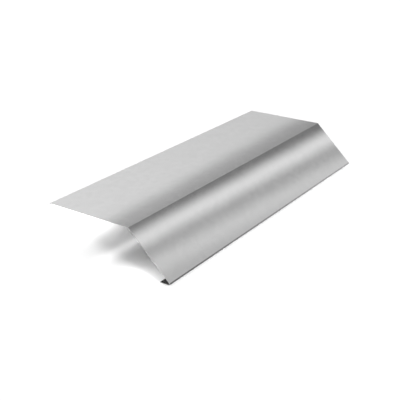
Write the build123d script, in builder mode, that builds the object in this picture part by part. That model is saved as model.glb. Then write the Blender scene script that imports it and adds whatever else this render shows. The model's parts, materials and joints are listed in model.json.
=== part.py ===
"""Eaves flashing: one length of sheet steel folded to an open section, in millimetres.

The section runs from the free edge of the deck flange over the eaves bend and down the face to the
drip fold, where a narrow lip turns back underneath. Its widths are taken over the weather side, to
the sharp corners where the flats would meet.

The length lies on a floor as it comes to rest: on the free edges of the flange and of the lip, with
the eaves bend uppermost. X runs along the eaves, the face looks towards -Y and Z is up. The origin
is the middle of the ground that it covers.
"""

from build123d import *

import os

# Driving dimensions
LENGTH = 390.0
SHEET_THICKNESS = 0.5
FLANGE_WIDTH = 100.0
FACE_WIDTH = 68.0
LIP_WIDTH = 13.0
EAVES_ANGLE = 136.5  # inside, between flange and face
DRIP_ANGLE = 43.5  # inside, between face and lip
EAVES_INNER_RADIUS = 0.5
DRIP_INNER_RADIUS = 0.5

# Weather side of the section, with the flange level and the sharp eaves corner at the origin
STRAIGHT_ANGLE = 180.0
along_flange = Vector(1, 0)
along_face = along_flange.rotate(Axis.Z, EAVES_ANGLE - STRAIGHT_ANGLE)
along_lip = along_face.rotate(Axis.Z, DRIP_ANGLE - STRAIGHT_ANGLE)
eaves_corner = Vector(0, 0)
flange_edge = eaves_corner - along_flange * FLANGE_WIDTH
drip_corner = eaves_corner + along_face * FACE_WIDTH
lip_edge = drip_corner + along_lip * LIP_WIDTH
weather_radii = (EAVES_INNER_RADIUS + SHEET_THICKNESS, DRIP_INNER_RADIUS + SHEET_THICKNESS)

# The sheet lies on the inner side of that line, so each fold keeps its inner radius
with BuildSketch() as section:
    with BuildLine():
        FilletPolyline(flange_edge, eaves_corner, drip_corner, lip_edge, radius=weather_radii)
        offset(amount=SHEET_THICKNESS, side=Side.RIGHT)
    make_face()

# The two feet are the lower corners of the free edges, and the section turns until they are level
flange_foot = flange_edge - Vector(0, SHEET_THICKNESS)
lip_foot = lip_edge
rest_tilt = (lip_foot - flange_foot).get_signed_angle(along_flange, Vector(0, 0, 1))
resting_box = section.sketch.rotate(Axis.Z, rest_tilt).bounding_box()
ground_middle = (0, resting_box.center().X, -resting_box.min.Y)
outward = Vector(0, -1, 0).rotate(Axis.X, -rest_tilt)
section_plane = Plane(ground_middle, x_dir=outward, z_dir=(-1, 0, 0))

with BuildPart() as eaves_flashing:
    with BuildSketch(section_plane):
        add(section.sketch)
    extrude(amount=LENGTH / 2, both=True)

eaves_flashing.part.label = "eaves_flashing"
os.makedirs("parts", exist_ok=True)
export_step(eaves_flashing.part, "parts/eaves_flashing.step")
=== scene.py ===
import json
import math

import bpy
import numpy as np
from mathutils import Euler, Matrix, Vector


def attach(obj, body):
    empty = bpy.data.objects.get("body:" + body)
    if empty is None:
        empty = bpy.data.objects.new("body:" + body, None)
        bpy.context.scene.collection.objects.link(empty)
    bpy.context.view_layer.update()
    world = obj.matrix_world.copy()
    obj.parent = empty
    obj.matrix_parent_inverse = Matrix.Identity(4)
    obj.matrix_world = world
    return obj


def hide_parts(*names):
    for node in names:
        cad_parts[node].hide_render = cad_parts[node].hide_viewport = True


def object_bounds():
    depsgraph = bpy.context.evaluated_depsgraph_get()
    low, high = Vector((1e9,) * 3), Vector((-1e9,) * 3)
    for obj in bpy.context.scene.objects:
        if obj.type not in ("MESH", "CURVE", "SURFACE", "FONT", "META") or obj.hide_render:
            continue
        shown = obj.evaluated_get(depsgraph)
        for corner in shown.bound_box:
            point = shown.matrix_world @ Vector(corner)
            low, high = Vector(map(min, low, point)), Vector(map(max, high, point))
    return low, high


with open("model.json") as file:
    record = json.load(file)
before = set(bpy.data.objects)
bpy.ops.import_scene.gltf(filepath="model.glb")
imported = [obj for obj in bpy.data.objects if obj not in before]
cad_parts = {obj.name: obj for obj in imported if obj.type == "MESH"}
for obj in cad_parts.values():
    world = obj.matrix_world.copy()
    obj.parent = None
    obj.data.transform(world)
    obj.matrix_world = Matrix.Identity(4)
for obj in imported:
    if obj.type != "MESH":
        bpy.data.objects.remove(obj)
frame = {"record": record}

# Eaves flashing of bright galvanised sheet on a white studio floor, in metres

cad_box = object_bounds()

# Sheet, as it is folded
SHEET_THICKNESS = 0.0005
BEND_INNER_RADIUS = 0.0005
LIP_WIDTH = 0.013
DRIP_ANGLE = math.radians(43.5)
EDGE_ROUND = 0.00012
END_ROUND = 0.0001

# Unevenness of the flats: each wave's radians a metre along and across, share of the height, and phase
WAVE_HEIGHT = 0.00004
WAVES = ((41.0, 23.0, 1.0, 0.0), (-67.0, 52.0, 0.7, 1.3), (109.0, 0.0, 0.5, 2.1))

# Rows of the sheet's grid
FLAT_ROWS = 44
LIP_ROWS = 14
EAVES_ROWS = 12
DRIP_ROWS = 28
ROUND_ROWS = 4
STATIONS = 131

# Camera, measured from the near end of the eaves bend with the flange held level
EYE_OUTWARD = 0.43422
EYE_BEFORE_END = 0.51507
EYE_ABOVE_FLANGE = 0.31183
EYE_YAW = math.radians(34.425)
EYE_PITCH = math.radians(22.985)
LENS_MM = 71.478
NEAREST_SEEN = 0.01

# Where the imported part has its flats: both are given at their middles, on the weather side
mounts = {mount["name"]: mount for mount in frame["record"]["mounts"]}
flange_middle = np.array(mounts["roofing_lap"]["pos_m"])
flange_up = np.array(mounts["roofing_lap"]["axis"])
face_middle = np.array(mounts["face_lap"]["pos_m"])
face_out = np.array(mounts["face_lap"]["axis"])
along = np.array((1.0, 0.0, 0.0))
floor_up = np.array((0.0, 0.0, 1.0))
outward = np.cross(along, flange_up)
face_down = np.cross(along, face_out)
length = (cad_box[1] - cad_box[0])[0]

# The two flats' lines meet in the sharp eaves corner, half a width from each middle
flat_ways = np.stack((outward, face_down), 1)
half_widths = np.linalg.lstsq(flat_ways, face_middle - flange_middle, rcond=None)[0]
flange_width, face_width = 2 * half_widths
eaves_corner = flange_middle + outward * half_widths[0]
near_corner = eaves_corner - along * length / 2
eaves_turn = math.acos(outward @ face_down)
drip_turn = math.pi - DRIP_ANGLE


def setback(turn):
    """Length that a bend takes off each flat beside it: outer radius times the tangent of half the turn."""
    return (BEND_INNER_RADIUS + SHEET_THICKNESS) * math.tan(turn / 2)


# Stretches of the sheet's middle line, in order: flange, eaves bend, face, drip fold, lip
DRIP_STRETCH = 3
middle_radius = BEND_INNER_RADIUS + SHEET_THICKNESS / 2
stretch_lengths = (
    flange_width - setback(eaves_turn),
    middle_radius * eaves_turn,
    face_width - setback(eaves_turn) - setback(drip_turn),
    middle_radius * drip_turn,
    LIP_WIDTH - setback(drip_turn),
)
stretch_turns = (0.0, eaves_turn, 0.0, drip_turn, 0.0)
stretch_rows = (FLAT_ROWS, EAVES_ROWS, FLAT_ROWS, DRIP_ROWS, LIP_ROWS)
stretch_ends = np.concatenate(((0.0,), np.cumsum(stretch_lengths)))
sheet_width = stretch_ends[-1]


def eased(count):
    """Steps from 0 to 1, close together at both ends: half of one minus the cosine of an even half turn."""
    return 0.5 - 0.5 * np.cos(np.linspace(0, math.pi, count + 1))


def section_line():
    """Middle line of the folded sheet: distance across, place and weather-side normal of each row.

    The heading is the running total of the turn, which grows evenly along each bend and stays along each
    flat. Each step is the chord of its arc: its length times the sine of half the step's turn, over that
    half.
    """
    steps = [eased(rows) for rows in stretch_rows]
    turned = np.concatenate(((0.0,), np.cumsum(stretch_turns)))
    distances = [start + size * step[:-1] for start, size, step in zip(stretch_ends, stretch_lengths, steps)]
    headings = [before + turn * step[:-1] for before, turn, step in zip(turned, stretch_turns, steps)]
    across = np.concatenate(distances + [(sheet_width,)])
    heading = np.concatenate(headings + [turned[-1:]])
    half_turn = np.diff(heading) / 2
    chord = np.diff(across) * np.sinc(half_turn / math.pi)
    course = heading[:-1] + half_turn
    moves = np.outer(chord * np.cos(course), outward) - np.outer(chord * np.sin(course), flange_up)
    start = eaves_corner - outward * flange_width - flange_up * SHEET_THICKNESS / 2
    place = start + np.concatenate((np.zeros((1, 3)), np.cumsum(moves, 0)))
    normal = np.outer(np.sin(heading), outward) + np.outer(np.cos(heading), flange_up)
    return across, place, normal


def sheet_waves(across, x):
    """Faint unevenness of thin rolled sheet: slanting sines that die away at every bend and free edge.

    Across each flat the height is faded by the square of a half sine, which is nought at both of its sides.
    """
    stretch = np.searchsorted(stretch_ends[1:-1], across)
    share = (across - stretch_ends[stretch]) / np.array(stretch_lengths)[stretch]
    flat = np.equal(stretch_turns, 0.0)[stretch]
    fade = flat * np.sin(math.pi * np.clip(share, 0, 1)) ** 2
    wave = sum(size * np.sin(run * x + rise * across + phase) for run, rise, size, phase in WAVES)
    return WAVE_HEIGHT * fade * wave


def sheet_rim():
    """Outline of the sheet's section, once round: distance across, height off the middle line, outward way.

    It runs along the weather side and back along the inner side, with a quarter round at each corner.
    """
    line = section_line()[0]
    flat = line[(line > 2 * EDGE_ROUND) & (line < sheet_width - 2 * EDGE_ROUND)]
    turn = np.linspace(0, math.pi / 2, ROUND_ROWS + 1)
    rise = SHEET_THICKNESS / 2 - EDGE_ROUND
    corner_across = EDGE_ROUND * (1 - np.sin(turn[::-1]))
    corner_height = rise + EDGE_ROUND * np.cos(turn[::-1])
    across = np.concatenate((corner_across, flat, sheet_width - corner_across[::-1]))
    height = np.concatenate((corner_height, np.full(len(flat), SHEET_THICKNESS / 2), corner_height[::-1]))
    way_across = np.concatenate((-np.sin(turn[::-1]), np.zeros(len(flat)), np.sin(turn)))
    way_height = np.concatenate((np.cos(turn[::-1]), np.ones(len(flat)), np.cos(turn)))
    return (
        np.concatenate((across, across[::-1])),
        np.concatenate((height, -height[::-1])),
        np.concatenate((way_across, way_across[::-1])),
        np.concatenate((way_height, -way_height[::-1])),
    )


def sheet_stations():
    """Places along the length, and how far the outline draws in at each.

    Over each end the outline draws in by the round's radius less its cosine while it runs out by its sine.
    """
    turn = np.linspace(math.pi / 2, 0, ROUND_ROWS + 1)
    body = np.linspace(-0.5, 0.5, STATIONS) * (length - 4 * END_ROUND)
    end_x = length / 2 - END_ROUND + END_ROUND * np.sin(turn)
    end_inset = END_ROUND * (1 - np.cos(turn))
    x = np.concatenate((-end_x, body, end_x[::-1]))
    inset = np.concatenate((end_inset, np.zeros(STATIONS), end_inset[::-1]))
    return x, inset


def folded_sheet():
    """The sheet as one closed grid: its outline carried along the length, and quads over each end.

    A point is the middle line's place, plus its height and the waves along the line's normal. The grid comes
    with each point's own two distances, along and across, and with how far it belongs to a cut edge.
    """
    line_across, line_place, line_normal = section_line()
    rim_across, rim_height, way_across, way_height = sheet_rim()
    x, inset = sheet_stations()
    across = rim_across - np.outer(inset, way_across)
    height = rim_height - np.outer(inset, way_height) + sheet_waves(across, x[:, None])

    def on_line(column):
        place = np.interp(across, line_across, line_place[:, column])
        normal = np.interp(across, line_across, line_normal[:, column])
        return place + height * normal

    points = np.stack((np.broadcast_to(x[:, None], across.shape), on_line(1), on_line(2)), -1)

    count = len(rim_across)
    index = np.arange(points.shape[0] * count).reshape(-1, count)
    ahead = np.roll(index, -1, 1)
    walls = np.stack((index[:-1], ahead[:-1], ahead[1:], index[1:]), -1).reshape(-1, 4)
    weather = np.arange(count // 2 - 1)
    inner = count - 1 - weather
    strip = np.stack((weather, weather + 1, inner - 1, inner), -1)
    near_end = index[0][strip[:, ::-1]]
    far_end = index[-1][strip]
    faces = np.concatenate((walls, near_end, far_end))

    cut = np.maximum(np.abs(way_across)[None, :], (inset > 0)[:, None])
    unrolled = np.stack((points[..., 0], across), -1)
    return points.reshape(-1, 3), faces, unrolled.reshape(-1, 2), cut.ravel()


def new_mesh(name, points, faces, unrolled):
    """Object made of a grid's points and quads, with a UV map that holds each point's own two distances."""
    mesh = bpy.data.meshes.new(name)
    mesh.from_pydata(points, [], faces)
    corners = np.empty(len(mesh.loops), np.int32)
    mesh.loops.foreach_get("vertex_index", corners)
    layer = mesh.uv_layers.new(name="unrolled")
    layer.uv.foreach_set("vector", unrolled[corners].astype(np.float32).ravel())
    mesh.polygons.foreach_set("use_smooth", np.ones(len(mesh.polygons), bool))
    piece = bpy.data.objects.new(name, mesh)
    bpy.context.scene.collection.objects.link(piece)
    return piece


class Value:
    """One output of a shader graph. Arithmetic on it adds Math nodes."""

    def __init__(self, graph, socket):
        self.graph = graph
        self.socket = socket

    def out(self, name):
        return Value(self.graph, self.socket.node.outputs[name])

    def math(self, operation, first, second=0.0):
        return self.graph.node("ShaderNodeMath", {"operation": operation}, {0: first, 1: second})

    def __add__(self, other):
        return self.math("ADD", self, other)

    def __radd__(self, other):
        return self.math("ADD", other, self)

    def __sub__(self, other):
        return self.math("SUBTRACT", self, other)

    def __rsub__(self, other):
        return self.math("SUBTRACT", other, self)

    def __mul__(self, other):
        return self.math("MULTIPLY", self, other)

    def __rmul__(self, other):
        return self.math("MULTIPLY", other, self)

    def __truediv__(self, other):
        return self.math("DIVIDE", self, other)

    def __abs__(self):
        return self.math("ABSOLUTE", self)

    def at_most(self, other):
        return self.math("MINIMUM", self, other)

    def at_least(self, other):
        return self.math("MAXIMUM", self, other)

    def as_share(self):
        """The value, held between 0 and 1."""
        return self.at_least(0.0).at_most(1.0)


# A Mix node's colour sockets go by number, because its other kinds of socket have the same names
MIX_FACTOR = 0
MIX_FIRST = 6
MIX_SECOND = 7
MIX_RESULT = 2


class Graph:
    """The node tree of a material or a world, filled from Python."""

    def __init__(self, owner, output):
        owner.use_nodes = True
        self.tree = owner.node_tree
        self.tree.nodes.clear()
        self.output = self.tree.nodes.new(output)

    def node(self, kind, settings=None, sockets=None, output=0):
        """Adds a node: its settings first, then the value or link of each socket."""
        node = self.tree.nodes.new(kind)
        for key, setting in (settings or {}).items():
            if key == "stops":
                self.set_stops(node.color_ramp, setting)
            elif key == "interpolation":
                node.color_ramp.interpolation = setting
            else:
                setattr(node, key, setting)
        for key, value in (sockets or {}).items():
            if isinstance(value, Value):
                self.tree.links.new(value.socket, node.inputs[key])
            else:
                node.inputs[key].default_value = value
        return Value(self, node.outputs[output])

    def set_stops(self, ramp, stops):
        """Gives a ramp its stops, each a place from 0 to 1 and a grey level."""
        while len(ramp.elements) < len(stops):
            ramp.elements.new(1.0)
        for element, (place, level) in zip(ramp.elements, stops):
            element.position = place
            element.color = grey(level)

    def mix_colour(self, factor, first, second):
        sockets = {MIX_FACTOR: factor, MIX_FIRST: first, MIX_SECOND: second}
        return self.node("ShaderNodeMix", {"data_type": "RGBA"}, sockets, MIX_RESULT)

    def finish(self, shader):
        self.tree.links.new(shader.socket, self.output.inputs["Surface"])


def grey(level):
    return (level, level, level, 1.0)


# Galvanised finish
ZINC_PALE = (0.779, 0.779, 0.78, 1.0)
ZINC_DARK = (0.729, 0.729, 0.731, 1.0)
# Painted shade: near-black colour laid over the drip fold in place of the shade and dark reflection along it
DRIP_PAINTED_SHADE = (0.08, 0.08, 0.081, 1.0)
CUT_STEEL = (0.49, 0.49, 0.49, 1.0)
# Painted shade: dark colour for the lip's cut edges, in place of the shade they lie in
LIP_CUT_PAINTED_SHADE = (0.08, 0.08, 0.08, 1.0)
GRAZING_TINT = 0.85
SPANGLE_SIZE = 0.006
ROLLING_SCALE = (5.0, 700.0, 1.0)
ROLLING_DETAIL = 3.0
HANDLING_SCALE = 14.0
HANDLING_DETAIL = 4.0

# Shares of the marks in the zinc's tone
SPANGLE_TONE = 0.5
ROLLING_TONE = 0.3
HANDLING_TONE = 0.2

# Roughness of the sheet, and what its marks, fold and cut edges add
SHEET_ROUGHNESS = 0.14
SPANGLE_ROUGHNESS = 0.02
HANDLING_ROUGHNESS = 0.04
FOLD_ROUGHNESS = 0.12
CUT_ROUGHNESS = 0.2

# Relief of spangle and rolling lines
SPANGLE_RELIEF = 0.4
RELIEF_STRENGTH = 0.02
RELIEF_DEPTH = 0.00005

# Band over the drip fold, made rougher and painted dark as shade, which fades beyond its plateau; its
# painted shade is strongest at the near end
FOLD_HALF_WIDTH = 0.0013
FOLD_SHIFT = 0.0003
FOLD_PLATEAU = 0.6
DRIP_SHADE_MIDDLE = 0.71
DRIP_SHADE_FALL = 0.58


def galvanised_sheet():
    """Bright zinc with faint spangle and rolling lines, painted dark as shade over the drip fold, with cut
    steel edges whose lip part is painted dark as shade.
    """
    material = bpy.data.materials.new("galvanised_sheet")
    graph = Graph(material, "ShaderNodeOutputMaterial")
    unrolled = graph.node("ShaderNodeUVMap", {"uv_map": "unrolled"})
    place = graph.node("ShaderNodeSeparateXYZ", {}, {"Vector": unrolled})
    across = place.out("Y")

    spangle = graph.node(
        "ShaderNodeTexVoronoi",
        {"voronoi_dimensions": "2D"},
        {"Vector": unrolled, "Scale": 1 / SPANGLE_SIZE, "Randomness": 1.0},
        output="Color",
    )
    crystal = graph.node("ShaderNodeSeparateColor", {}, {"Color": spangle}, output="Red")
    drawn_out = graph.node("ShaderNodeMapping", {}, {"Vector": unrolled, "Scale": ROLLING_SCALE})
    rolling = graph.node(
        "ShaderNodeTexNoise", {}, {"Vector": drawn_out, "Scale": 1.0, "Detail": ROLLING_DETAIL}
    )
    handling = graph.node(
        "ShaderNodeTexNoise", {}, {"Vector": unrolled, "Scale": HANDLING_SCALE, "Detail": HANDLING_DETAIL}
    )
    cut = graph.node("ShaderNodeAttribute", {"attribute_name": "cut_edge"}, output="Fac")

    drip_band_middle = (stretch_ends[DRIP_STRETCH] + stretch_ends[DRIP_STRETCH + 1]) / 2 + FOLD_SHIFT
    past_middle = (across - drip_band_middle) / FOLD_HALF_WIDTH
    fold = (1 + FOLD_PLATEAU - abs(past_middle)).as_share()
    # Painted shade over the drip fold: darkest at the near end, fading towards the far end
    drip_painted_shade = fold * (DRIP_SHADE_MIDDLE - place.out("X") * (DRIP_SHADE_FALL / length))
    tone = (crystal * SPANGLE_TONE + rolling * ROLLING_TONE + handling * HANDLING_TONE).at_most(1.0)
    zinc = graph.mix_colour(tone, ZINC_DARK, ZINC_PALE)
    # The drip fold's painted shade laid over the zinc
    drip_shaded_zinc = graph.mix_colour(drip_painted_shade, zinc, DRIP_PAINTED_SHADE)
    # Cut edges are bare steel, except past the drip fold's middle, where the lip's cut edges are painted
    # dark as shade
    cut_steel_and_lip_shade = graph.mix_colour(past_middle.as_share(), CUT_STEEL, LIP_CUT_PAINTED_SHADE)
    marks = (crystal - 0.5) * SPANGLE_ROUGHNESS + (handling - 0.5) * HANDLING_ROUGHNESS
    relief = graph.node(
        "ShaderNodeBump",
        {},
        {
            "Height": crystal * SPANGLE_RELIEF + rolling,
            "Strength": RELIEF_STRENGTH,
            "Distance": RELIEF_DEPTH,
        },
    )
    graph.finish(graph.node(
        "ShaderNodeBsdfPrincipled",
        {},
        {
            "Base Color": graph.mix_colour(cut, drip_shaded_zinc, cut_steel_and_lip_shade),
            "Metallic": 1.0,
            "Roughness": SHEET_ROUGHNESS + marks + fold * FOLD_ROUGHNESS + cut * CUT_ROUGHNESS,
            "Specular Tint": grey(GRAZING_TINT),
            "Normal": relief,
        },
    ))
    return material


points, faces, unrolled, cut = folded_sheet()
sheet = new_mesh("folded_sheet", points, faces, unrolled)
sheet.data.attributes.new("cut_edge", "FLOAT", "POINT").data.foreach_set("value", cut.astype(np.float32))
sheet.data.materials.append(galvanised_sheet())
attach(sheet, "root")
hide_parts("eaves_flashing")


# Camera: the level flange's view, turned with the flange as it lies
level_frame = np.stack((outward, along, flange_up), 1)
eye = near_corner + level_frame @ np.array((EYE_OUTWARD, -EYE_BEFORE_END, EYE_ABOVE_FLANGE))
camera_data = bpy.data.cameras.new("camera")
camera_data.lens = LENS_MM
camera_data.clip_start = NEAREST_SEEN
camera = bpy.data.objects.new("camera", camera_data)
bpy.context.scene.collection.objects.link(camera)
aim = Matrix(level_frame.tolist()) @ Euler((math.pi / 2 - EYE_PITCH, 0.0, EYE_YAW)).to_matrix()
camera.matrix_world = Matrix.Translation(eye.tolist()) @ aim.to_4x4()
bpy.context.scene.camera = camera


def level_sheet(name, x_span, y_span, height):
    """Level rectangle: the four corners of two spans at one height, with a UV map from 0 to 1 both ways."""
    x, y = np.meshgrid(x_span, y_span)
    u, v = np.meshgrid((0.0, 1.0), (0.0, 1.0))
    corners = np.stack((x, y, np.full_like(x, height)), -1).reshape(-1, 3)
    return new_mesh(name, corners, np.array(((0, 1, 3, 2),)), np.stack((u, v), -1).reshape(-1, 2))


# Floor
FLOOR_SPAN = (-6.0, 6.0)
FLOOR_COLOUR = 0.97


def white_floor():
    """Matt white level square at the height that the part stands on."""
    floor = level_sheet("floor", FLOOR_SPAN, FLOOR_SPAN, 0.0)
    material = bpy.data.materials.new("floor")
    graph = Graph(material, "ShaderNodeOutputMaterial")
    graph.finish(graph.node("ShaderNodeBsdfDiffuse", {}, {"Color": grey(FLOOR_COLOUR)}))
    floor.data.materials.append(material)
    return floor


# Light cards that the flats mirror towards the camera
FACE_CARD_REACH = 0.07
FACE_CARD_FAN = 0.343
FACE_CARD_DRIFT = 0.0036
FACE_CARD_LIGHT = (
    (-0.030, 0.225),
    (0.001, 0.225),
    (0.0152, 0.97),
    (0.029, 0.49),
    (0.0445, 0.76),
    (0.060, 0.58),
    (0.100, 0.53),
)
FLANGE_CARD_REACH = 0.045
FLANGE_CARD_FAN = 0.3
FLANGE_CARD_DRIFT = 0.0
FLANGE_CARD_FADE = (1.085, 0.945)
FLANGE_CARD_LIGHT = ((-0.040, 0.38), (0.002, 0.42), (0.011, 0.485), (0.0345, 0.83), (0.110, 0.83))
NO_FADE = (1.0, 1.0)

# Grid of a card, its two ends in lengths of the part from the near end, and how fast its rims clear
CARD_ROWS = 40
CARD_START = -1.2
CARD_END = 3.0
CARD_SIDE_CLEARING = 40.0
CARD_END_CLEARING = 10.0


def mirror_card(name, down, out, reach, fan, drift, fade, light):
    """Soft card that one flat of the sheet mirrors towards the camera.

    The eye's image behind the flat and a point of the flat give a ray, and the card's point is where that
    ray is `reach` in front of the flat. Lines of equal light spread by `fan` and move by `drift` from the
    near end to the far end. The light's steps are distances from the bend at the near end, each with its
    level, and `fade` holds what the levels are multiplied by at the near end and at the far end.
    """
    behind = eye - 2 * ((eye - near_corner) @ out) * out
    depth = (near_corner - behind) @ out
    first, last = light[0][0], light[-1][0]
    stops = [((step - first) / (last - first), level) for step, level in light]
    u, v = np.meshgrid(np.linspace(0, 1, CARD_ROWS), np.linspace(0, 1, CARD_ROWS))
    run = CARD_START + (CARD_END - CARD_START) * v
    distance = (first + (last - first) * u) * (1 + fan * run) + drift * run
    flat = near_corner + distance[..., None] * down + (run * length)[..., None] * along
    points = (flat + (flat - behind) * reach / depth).reshape(-1, 3)
    index = np.arange(CARD_ROWS * CARD_ROWS).reshape(CARD_ROWS, CARD_ROWS)
    faces = np.stack((index[:-1, :-1], index[:-1, 1:], index[1:, 1:], index[1:, :-1]), -1).reshape(-1, 4)
    card = new_mesh(name, points, faces, np.stack((u, v), -1).reshape(-1, 2))
    light_metal_only(card, stops, fade)
    return card


def light_metal_only(card, stops, fade):
    """Gives a card its glow and leaves it to glossy rays, so that it neither shows nor lights the floor."""
    card.data.materials.append(card_glow(card.name, stops, fade))
    card.visible_camera = False
    card.visible_diffuse = False
    card.visible_shadow = False
    card.visible_transmission = False
    card.visible_volume_scatter = False


def card_glow(name, stops, fade):
    """Light that varies across a card by its stops and evenly along it, and clears towards its rims."""
    material = bpy.data.materials.new(name)
    graph = Graph(material, "ShaderNodeOutputMaterial")
    unrolled = graph.node("ShaderNodeUVMap", {"uv_map": "unrolled"})
    place = graph.node("ShaderNodeSeparateXYZ", {}, {"Vector": unrolled})
    u, v = place.out("X"), place.out("Y")
    light = graph.node("ShaderNodeValToRGB", {"stops": stops, "interpolation": "EASE"}, {"Fac": u})
    run = (CARD_START + (CARD_END - CARD_START) * v).as_share()
    level = light * (fade[0] + (fade[1] - fade[0]) * run)
    glow = graph.node("ShaderNodeEmission", {}, {"Color": level, "Strength": 1.0})
    clear = graph.node("ShaderNodeBsdfTransparent")
    side = (u * (1 - u) * CARD_SIDE_CLEARING).at_most(1.0)
    end = (v * (1 - v) * CARD_END_CLEARING).at_most(1.0)
    graph.finish(graph.node("ShaderNodeMixShader", {}, {0: side * end, 1: clear, 2: glow}))
    return material


# Faint glow under the tent, where little of the room's light comes in
INSIDE_HEIGHT = 0.0008
INSIDE_LENGTH_SPAN = (-0.19, 0.19)
INSIDE_SPAN = (-0.062, 0.072)
INSIDE_LIGHT = 0.07


def inside_card():
    """Level sheet of even glow just over the floor that the part covers."""
    card = level_sheet("inside_card", INSIDE_LENGTH_SPAN, INSIDE_SPAN, INSIDE_HEIGHT)
    light_metal_only(card, ((0.0, INSIDE_LIGHT), (1.0, INSIDE_LIGHT)), NO_FADE)
    return card


# Room light: the floor's level from all round, and the ceiling that the metal mirrors
AMBIENT = 0.308
CEILING = 0.45

# Broad key, with its angles in degrees
KEY_AZIMUTH = -51.0
KEY_ELEVATION = 44.0
KEY_STRENGTH = 3.49
KEY_WIDTH = 70.0

# Three panels for the light that the bright inside of the sheet throws on the floor at its near end.
# Middles are measured from that end inwards, and sizes run along the part and across it.
FLANGE_PANEL_INSIDE = 0.0148
FLANGE_PANEL_FROM_BEND = 0.0699
FLANGE_PANEL_BELOW = 0.0007
FLANGE_PANEL_SIZE = (0.0606, 0.0582)
FLANGE_PANEL_POWER = 0.0275
RIDGE_PANEL_MIDDLE = (0.0085, -0.0129, 0.007)
RIDGE_PANEL_SIZE = (0.0719, 0.001)
RIDGE_PANEL_POWER = 0.0013
END_PANEL_MIDDLE = (-0.0292, -0.0511, 0.0238)
END_PANEL_SIZE = (0.0421, 0.0161)
END_PANEL_POWER = 0.0179
END_PANEL_TILT = math.radians(31.7)


def studio_world():
    """White surroundings that shade off to a grey ceiling in the metal, with a plain level for the floor."""
    world = bpy.data.worlds.new("studio")
    bpy.context.scene.world = world
    graph = Graph(world, "ShaderNodeOutputWorld")
    rays = graph.node("ShaderNodeLightPath")
    seen = rays.out("Is Camera Ray") + rays.out("Is Glossy Ray") + rays.out("Is Transmission Ray")
    direction = graph.node("ShaderNodeTexCoord", output="Generated")
    way = graph.node("ShaderNodeSeparateXYZ", {}, {"Vector": direction})
    rise = way.out("Z").at_least(0.0)
    ceiling = graph.mix_colour(rise * (1 - rays.out("Is Camera Ray")), grey(1.0), grey(CEILING))
    colour = graph.mix_colour(seen.at_most(1.0), grey(AMBIENT), ceiling)
    graph.finish(graph.node("ShaderNodeBackground", {}, {"Color": colour, "Strength": 1.0}))


def soft_sun(name, azimuth, elevation, strength, width):
    """Distant lamp, in degrees: a compass angle from +X towards +Y, and a height above the floor."""
    lamp = bpy.data.lights.new(name, "SUN")
    lamp.energy = strength
    lamp.angle = math.radians(width)
    sun = bpy.data.objects.new(name, lamp)
    sun.rotation_euler = (math.radians(90 - elevation), 0.0, math.radians(azimuth + 90))
    sun.visible_glossy = False
    bpy.context.scene.collection.objects.link(sun)


def floor_panel(name, middle, up, size, power):
    """Flat lamp round its middle that shines away from `up`, which is square to the part's length."""
    lamp = bpy.data.lights.new(name, "AREA")
    lamp.shape = "RECTANGLE"
    lamp.size, lamp.size_y = size
    lamp.energy = power
    panel = bpy.data.objects.new(name, lamp)
    turned = Matrix(np.stack((along, np.cross(up, along), up), 1).tolist())
    panel.matrix_world = Matrix.Translation(middle) @ turned.to_4x4()
    panel.visible_camera = False
    panel.visible_glossy = False
    bpy.context.scene.collection.objects.link(panel)


floor = white_floor()
face_card = mirror_card(
    "face_card",
    face_down,
    face_out,
    FACE_CARD_REACH,
    FACE_CARD_FAN,
    FACE_CARD_DRIFT,
    NO_FADE,
    FACE_CARD_LIGHT,
)
flange_card = mirror_card(
    "flange_card",
    -outward,
    flange_up,
    FLANGE_CARD_REACH,
    FLANGE_CARD_FAN,
    FLANGE_CARD_DRIFT,
    FLANGE_CARD_FADE,
    FLANGE_CARD_LIGHT,
)
inside_card()
studio_world()
soft_sun("key", KEY_AZIMUTH, KEY_ELEVATION, KEY_STRENGTH, KEY_WIDTH)
near_floor = -along * length / 2
under_flange = near_corner + along * FLANGE_PANEL_INSIDE - outward * FLANGE_PANEL_FROM_BEND
flange_panel_middle = under_flange - flange_up * FLANGE_PANEL_BELOW
end_panel_up = np.array((0.0, math.sin(END_PANEL_TILT), math.cos(END_PANEL_TILT)))
floor_panel("flange_panel", flange_panel_middle, flange_up, FLANGE_PANEL_SIZE, FLANGE_PANEL_POWER)
floor_panel("ridge_panel", near_floor + RIDGE_PANEL_MIDDLE, floor_up, RIDGE_PANEL_SIZE, RIDGE_PANEL_POWER)
floor_panel("end_panel", near_floor + END_PANEL_MIDDLE, end_panel_up, END_PANEL_SIZE, END_PANEL_POWER)
bpy.context.scene.view_settings.view_transform = "Standard"
